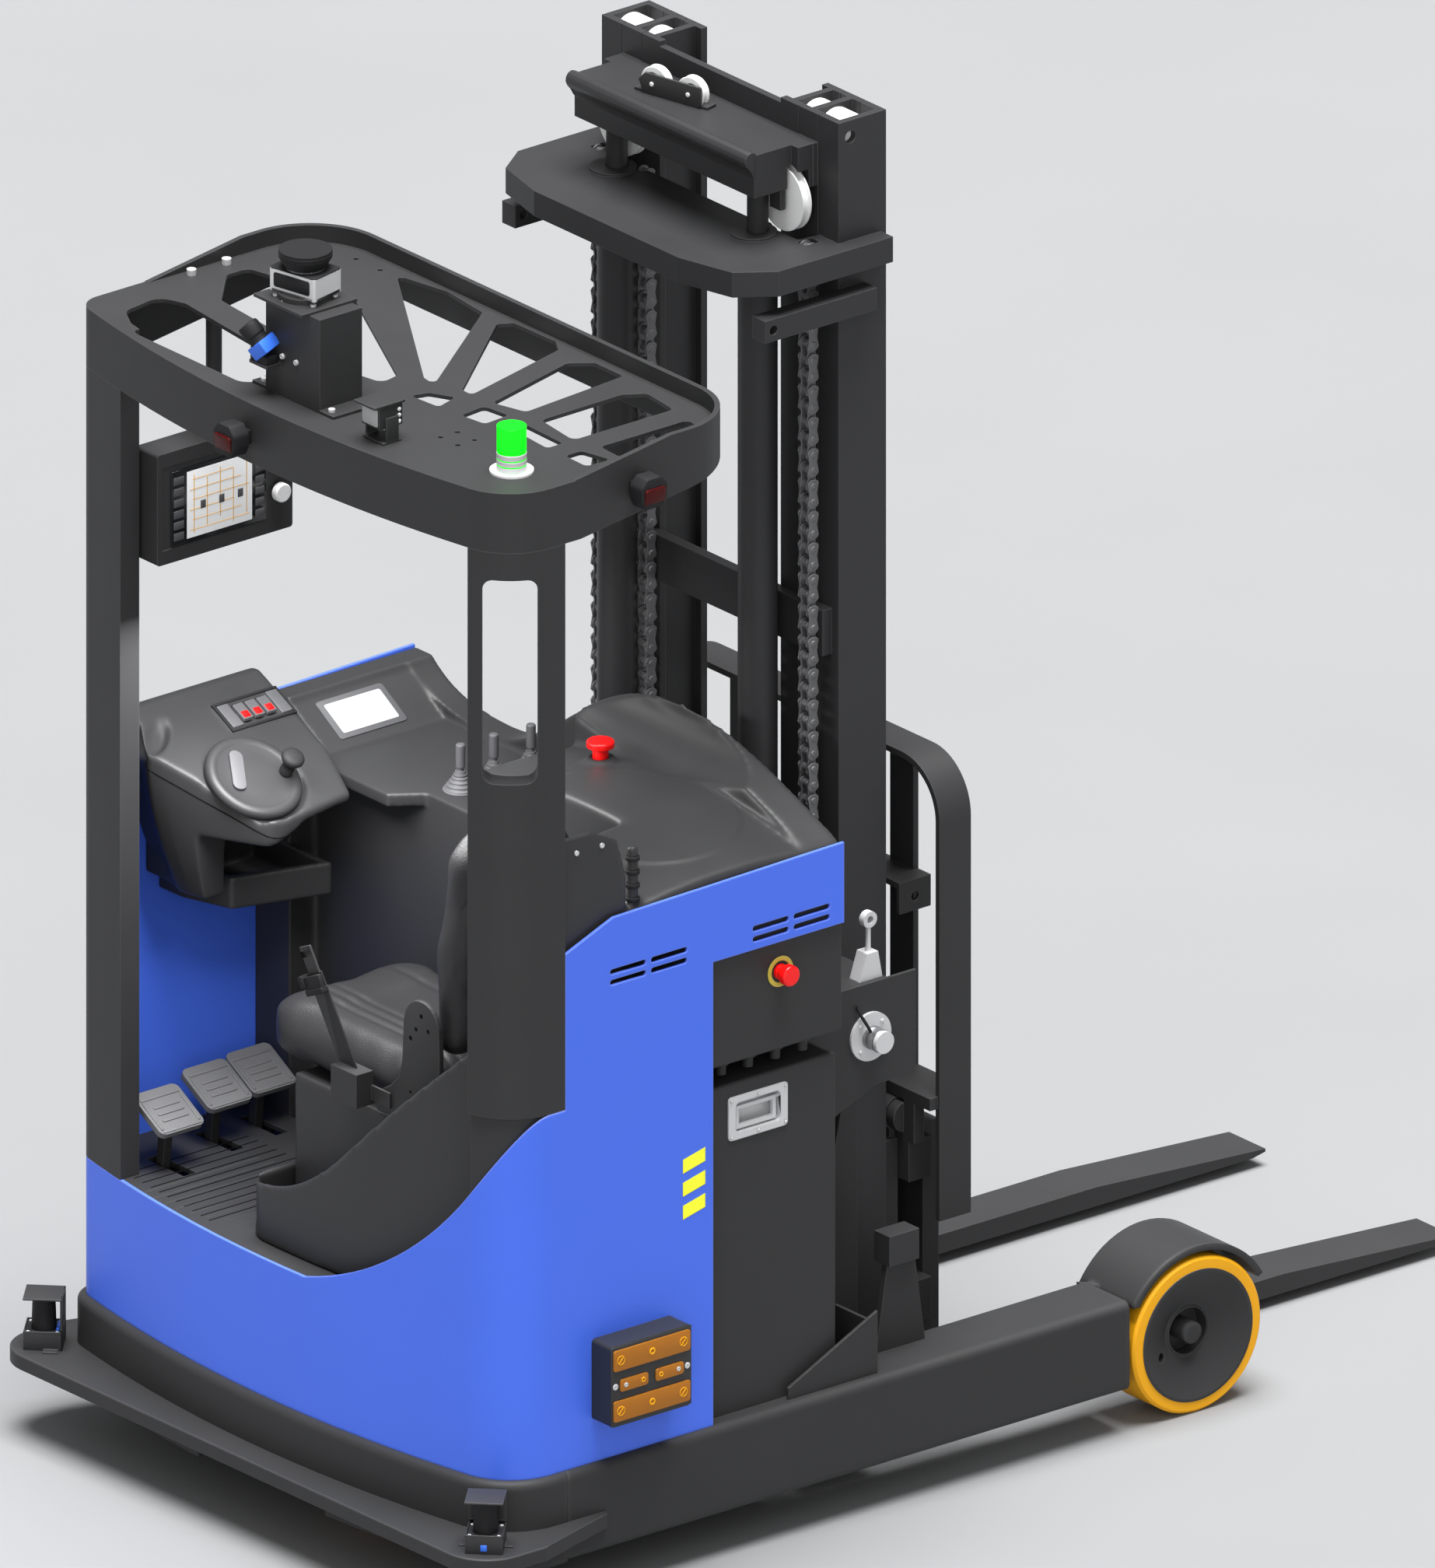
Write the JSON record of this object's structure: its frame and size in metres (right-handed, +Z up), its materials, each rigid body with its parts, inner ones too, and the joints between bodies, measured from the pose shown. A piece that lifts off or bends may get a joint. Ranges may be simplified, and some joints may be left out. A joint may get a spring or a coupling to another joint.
{
  "type": "autonomous reach truck",
  "caption": "Driverless-capable reach truck with straddle legs, extending three-stage mast, tilting forks, side-facing operator seat, overhead guard and safety scanners.",
  "frame": {"origin": "on the floor under the middle of the bounding box", "axes": "+X toward the fork tips, +Y to the truck's left side, +Z up"},
  "size_m": [2.618, 1.424, 2.616],
  "materials": {
    "dark": "satin",
    "blue": "satin",
    "black_plastic": "matte",
    "trim": "satin",
    "steel": "brushed",
    "chrome": "polished",
    "tyre": "matte",
    "red": "gloss",
    "silver": "satin",
    "cushion": "matte"
  },
  "bodies": {
    "chassis": {"base_skirt": "dark", "straddle_legs": "dark", "sensor_plate": "dark", "body_shell": "blue", "cab_floor": "dark", "battery": "dark", "electronics_box": "dark", "corner_posts": "dark", "overhead_guard": "dark", "battery_hood": "black_plastic", "dash_console": "black_plastic", "steering_console": "trim", "lever_boots": "trim", "seat_pod": "black_plastic", "hmi_box": "black_plastic", "lidar_tower": "dark", "tower_sensors": "silver", "guard_lamps": "trim", "safety_scanners": "trim", "charging_contacts": "black_plastic", "side_brackets": "dark", "reach_encoder": "silver", "drive_unit": "dark", "fasteners": "steel"},
    "reach": {"reach_carriage": "dark", "mast_outer": "dark", "outer_rollers": "steel", "lift_cylinders": "dark", "lift_chains": "steel"},
    "middle": {"mast_middle": "dark", "middle_rollers": "steel", "chain_sheaves": "steel", "lift_rods": "chrome"},
    "inner": {"mast_inner": "dark"},
    "carriage": {"fork_carriage": "dark"},
    "head": {"fork_head": "dark"},
    "fork_pair": {"forks": "dark"},
    "wheel_right": {"load_wheel_right": "steel"},
    "wheel_left": {"load_wheel_left": "steel"},
    "steer_fork": {"drive_fork": "dark"},
    "traction_wheel": {"drive_wheel": "tyre"},
    "disc": {"steering_disc": "trim"},
    "knob": {"steering_knob": "trim"},
    "seat": {"seat_cushion": "cushion", "seat_side_plates": "dark"},
    "back": {"seat_back": "cushion"},
    "estop_a": {"estop_hood": "red"},
    "estop_b": {"estop_side": "red"},
    "screen_knob": {"hmi_knob": "silver"},
    "screen_button": {"hmi_button": "silver"},
    "bail": {"handle_bail": "steel"},
    "lever1": {"lever_1": "trim"},
    "pedal1": {"pedal_1": "trim"},
    "rocker1": {"rocker_1": "red"},
    "lever2": {"lever_2": "trim"},
    "pedal2": {"pedal_2": "trim"},
    "rocker2": {"rocker_2": "red"},
    "lever3": {"lever_3": "trim"},
    "pedal3": {"pedal_3": "trim"},
    "rocker3": {"rocker_3": "red"}
  },
  "joints": [
    {"name": "reach", "type": "slide", "parent": "chassis", "child": "reach", "axis": [1, 0, 0], "range_m": [0, 0.45]},
    {"name": "middle_lift", "type": "slide", "parent": "reach", "child": "middle", "axis": [0, 0, 1], "range_m": [0, 1.8]},
    {"name": "inner_lift", "type": "slide", "parent": "middle", "child": "inner", "axis": [0, 0, 1], "range_m": [0, 1.8]},
    {"name": "carriage_lift", "type": "slide", "parent": "inner", "child": "carriage", "axis": [0, 0, 1], "range_m": [0, 1.75]},
    {"name": "fork_tilt", "type": "hinge", "parent": "carriage", "child": "head", "pos_m": [0.006, 0, 0.604], "axis": [0, -1, 0], "range_deg": [0, 4]},
    {"name": "side_shift", "type": "slide", "parent": "head", "child": "fork_pair", "axis": [0, 1, 0], "range_m": [-0.075, 0.075]},
    {"name": "wheel_right_spin", "type": "hinge", "parent": "chassis", "child": "wheel_right", "pos_m": [0.451, -0.586, 0.152], "axis": [0, 1, 0], "continuous": true},
    {"name": "wheel_left_spin", "type": "hinge", "parent": "chassis", "child": "wheel_left", "pos_m": [0.451, 0.586, 0.152], "axis": [0, 1, 0], "continuous": true},
    {"name": "drive_steer", "type": "hinge", "parent": "chassis", "child": "steer_fork", "pos_m": [-0.905, -0.12, 0.17], "axis": [0, 0, 1], "range_deg": [-90, 90]},
    {"name": "drive_spin", "type": "hinge", "parent": "steer_fork", "child": "traction_wheel", "pos_m": [-0.905, -0.12, 0.17], "axis": [0, 1, 0], "continuous": true},
    {"name": "disc_turn", "type": "hinge", "parent": "chassis", "child": "disc", "pos_m": [-0.955, 0.387, 1.286], "axis": [0, -0.5299, 0.848], "range_deg": [-720, 720]},
    {"name": "knob_spin", "type": "hinge", "parent": "disc", "child": "knob", "pos_m": [-0.893, 0.37513, 1.27858], "axis": [0, -0.5299, 0.848], "continuous": true},
    {"name": "lever1_tilt", "type": "hinge", "parent": "chassis", "child": "lever1", "pos_m": [-0.64, 0.166, 1.246], "axis": [1, 0, 0], "range_deg": [-15, 15], "stiffness_Nm_per_rad": 3},
    {"name": "lever2_tilt", "type": "hinge", "parent": "chassis", "child": "lever2", "pos_m": [-0.561, 0.166, 1.246], "axis": [1, 0, 0], "range_deg": [-15, 15], "stiffness_Nm_per_rad": 3},
    {"name": "lever3_tilt", "type": "hinge", "parent": "chassis", "child": "lever3", "pos_m": [-0.478, 0.16, 1.246], "axis": [1, 0, 0], "range_deg": [-15, 15], "stiffness_Nm_per_rad": 3},
    {"name": "pedal1_press", "type": "hinge", "parent": "chassis", "child": "pedal1", "pos_m": [-1.081, 0.495, 0.472], "axis": [-1, 0, 0], "range_deg": [0, 12], "stiffness_Nm_per_rad": 18, "springref_deg": -11.46},
    {"name": "pedal2_press", "type": "hinge", "parent": "chassis", "child": "pedal2", "pos_m": [-0.935, 0.534, 0.472], "axis": [-1, 0, 0], "range_deg": [0, 12], "stiffness_Nm_per_rad": 18, "springref_deg": -11.46},
    {"name": "pedal3_press", "type": "hinge", "parent": "chassis", "child": "pedal3", "pos_m": [-0.823, 0.544, 0.472], "axis": [-1, 0, 0], "range_deg": [0, 12], "stiffness_Nm_per_rad": 18, "springref_deg": -11.46},
    {"name": "rocker1_tip", "type": "hinge", "parent": "chassis", "child": "rocker1", "pos_m": [-0.87, 0.52088, 1.3542], "axis": [1, 0, 0], "range_deg": [-8, 8]},
    {"name": "rocker2_tip", "type": "hinge", "parent": "chassis", "child": "rocker2", "pos_m": [-0.842, 0.52088, 1.3542], "axis": [1, 0, 0], "range_deg": [-8, 8]},
    {"name": "rocker3_tip", "type": "hinge", "parent": "chassis", "child": "rocker3", "pos_m": [-0.814, 0.52088, 1.3542], "axis": [1, 0, 0], "range_deg": [-8, 8]},
    {"name": "hood_stop_press", "type": "slide", "parent": "chassis", "child": "estop_a", "axis": [0, 0, -1], "range_m": [0, 0.008]},
    {"name": "side_stop_press", "type": "slide", "parent": "chassis", "child": "estop_b", "axis": [0, 1, 0], "range_m": [0, 0.008]},
    {"name": "screen_knob_turn", "type": "hinge", "parent": "chassis", "child": "screen_knob", "pos_m": [-0.859, 0.43, 1.885], "axis": [0, 1, 0], "range_deg": [0, 90]},
    {"name": "screen_button_press", "type": "slide", "parent": "chassis", "child": "screen_button", "axis": [0, 1, 0], "range_m": [0, 0.005], "stiffness_N_per_m": 300, "springref_m": -0.002},
    {"name": "bail_swing", "type": "hinge", "parent": "chassis", "child": "bail", "pos_m": [-0.56, -0.592, 0.858], "axis": [-1, 0, 0], "range_deg": [0, 80]},
    {"name": "seat_slide", "type": "slide", "parent": "chassis", "child": "seat", "axis": [0, 1, 0], "range_m": [0, 0.12]},
    {"name": "back_fold", "type": "hinge", "parent": "seat", "child": "back", "pos_m": [-1.073, -0.262, 1], "axis": [-1, 0, 0], "range_deg": [0, 25]}
  ],
  "couplings": [
    {"joint": "inner_lift", "follows": "middle_lift", "ratio": 1},
    {"joint": "disc_turn", "follows": "drive_steer", "ratio": 8}
  ]
}
